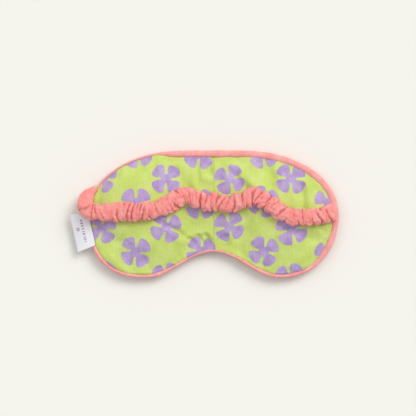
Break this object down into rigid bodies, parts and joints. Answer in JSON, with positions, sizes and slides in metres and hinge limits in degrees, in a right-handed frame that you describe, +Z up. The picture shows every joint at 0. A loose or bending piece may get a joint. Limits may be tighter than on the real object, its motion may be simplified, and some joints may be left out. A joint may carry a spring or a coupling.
{
  "type": "sleep mask",
  "caption": "Padded two-lobed sleep mask with a floral printed back, velour piping, a gathered elastic strap lying across it and a folded side label.",
  "frame": {"origin": "on the surface the mask lies on, under the middle of the nose bridge", "axes": "+X to the mask's right end as it lies, +Y to its top edge, +Z up through the eye side to the strap"},
  "size_m": [0.2417, 0.112, 0.0263],
  "materials": {
    "printed_pile": "short brushed pile, lime green printed with lavender four-petal flowers",
    "plush": "soft velour plush, coral pink",
    "pink_velour": "soft velour, coral pink",
    "cord": "twisted cotton cord",
    "thread": "polyester thread",
    "lining": "plain non-woven lining",
    "wadding": "loose polyester wadding",
    "pink_strap": "gathered knit, salmon pink",
    "elastic": "flat covered elastic",
    "satin_label": "white satin ribbon"
  },
  "bodies": {
    "bridge": {"back_panel_bridge": "printed_pile", "front_panel_bridge": "plush", "piping_bridge": "pink_velour", "piping_cord_bridge": "cord", "seam_thread_bridge": "thread", "liner_bridge": "lining", "wadding_bridge": "wadding"},
    "left_lobe": {"back_panel_left": "printed_pile", "front_panel_left": "plush", "piping_left": "pink_velour", "piping_cord_left": "cord", "seam_thread_left": "thread", "liner_left": "lining", "wadding_left": "wadding", "strap_tab_left": "pink_strap", "bar_tack_left": "thread"},
    "right_lobe": {"back_panel_right": "printed_pile", "front_panel_right": "plush", "piping_right": "pink_velour", "piping_cord_right": "cord", "seam_thread_right": "thread", "liner_right": "lining", "wadding_right": "wadding", "strap_tab_right": "pink_strap", "bar_tack_right": "thread"},
    "left_strap_arm": {"strap_casing_arm_left": "pink_strap", "elastic_arm_left": "elastic"},
    "left_strap_middle": {"strap_casing_middle_left": "pink_strap", "elastic_middle_left": "elastic"},
    "right_strap_arm": {"strap_casing_arm_right": "pink_strap", "elastic_arm_right": "elastic"},
    "right_strap_middle": {"strap_casing_middle_right": "pink_strap", "elastic_middle_right": "elastic"},
    "label": {"side_label": "satin_label"}
  },
  "joints": [
    {"name": "left_wrap", "type": "hinge", "parent": "bridge", "child": "left_lobe", "pos_m": [0, 0, 0.007], "axis": [0, 1, 0], "range_deg": [0, 45]},
    {"name": "right_wrap", "type": "hinge", "parent": "bridge", "child": "right_lobe", "pos_m": [0, 0, 0.007], "axis": [0, -1, 0], "range_deg": [0, 45]},
    {"name": "left_strap_swing", "type": "hinge", "parent": "left_lobe", "child": "left_strap_arm", "pos_m": [-0.1111, 0.01, 0.01621], "axis": [0, -1, 0], "range_deg": [0, 103.57]},
    {"name": "left_strap_level", "type": "hinge", "parent": "left_strap_arm", "child": "left_strap_middle", "pos_m": [-0.042, 0.008, 0.0233], "axis": [0, 1, 0], "range_deg": [0, 58.57]},
    {"name": "right_strap_swing", "type": "hinge", "parent": "right_lobe", "child": "right_strap_arm", "pos_m": [0.1111, 0.003, 0.01621], "axis": [0, 1, 0], "range_deg": [0, 103.57]},
    {"name": "right_strap_level", "type": "hinge", "parent": "right_strap_arm", "child": "right_strap_middle", "pos_m": [0.042, 0.0135, 0.0233], "axis": [0, -1, 0], "range_deg": [0, 58.57]},
    {"name": "label_flip", "type": "hinge", "parent": "left_lobe", "child": "label", "pos_m": [-0.1105, -0.0006, 0.01195], "axis": [-0.1908, 0.9816, 0], "range_deg": [0, 85]}
  ],
  "couplings": [
    {"joint": "right_wrap", "follows": "left_wrap", "ratio": 1},
    {"joint": "left_strap_swing", "follows": "left_wrap", "ratio": 2.3004},
    {"joint": "left_strap_level", "follows": "left_wrap", "ratio": 1.3004},
    {"joint": "right_strap_swing", "follows": "left_wrap", "ratio": 2.3004},
    {"joint": "right_strap_level", "follows": "left_wrap", "ratio": 1.3004}
  ]
}
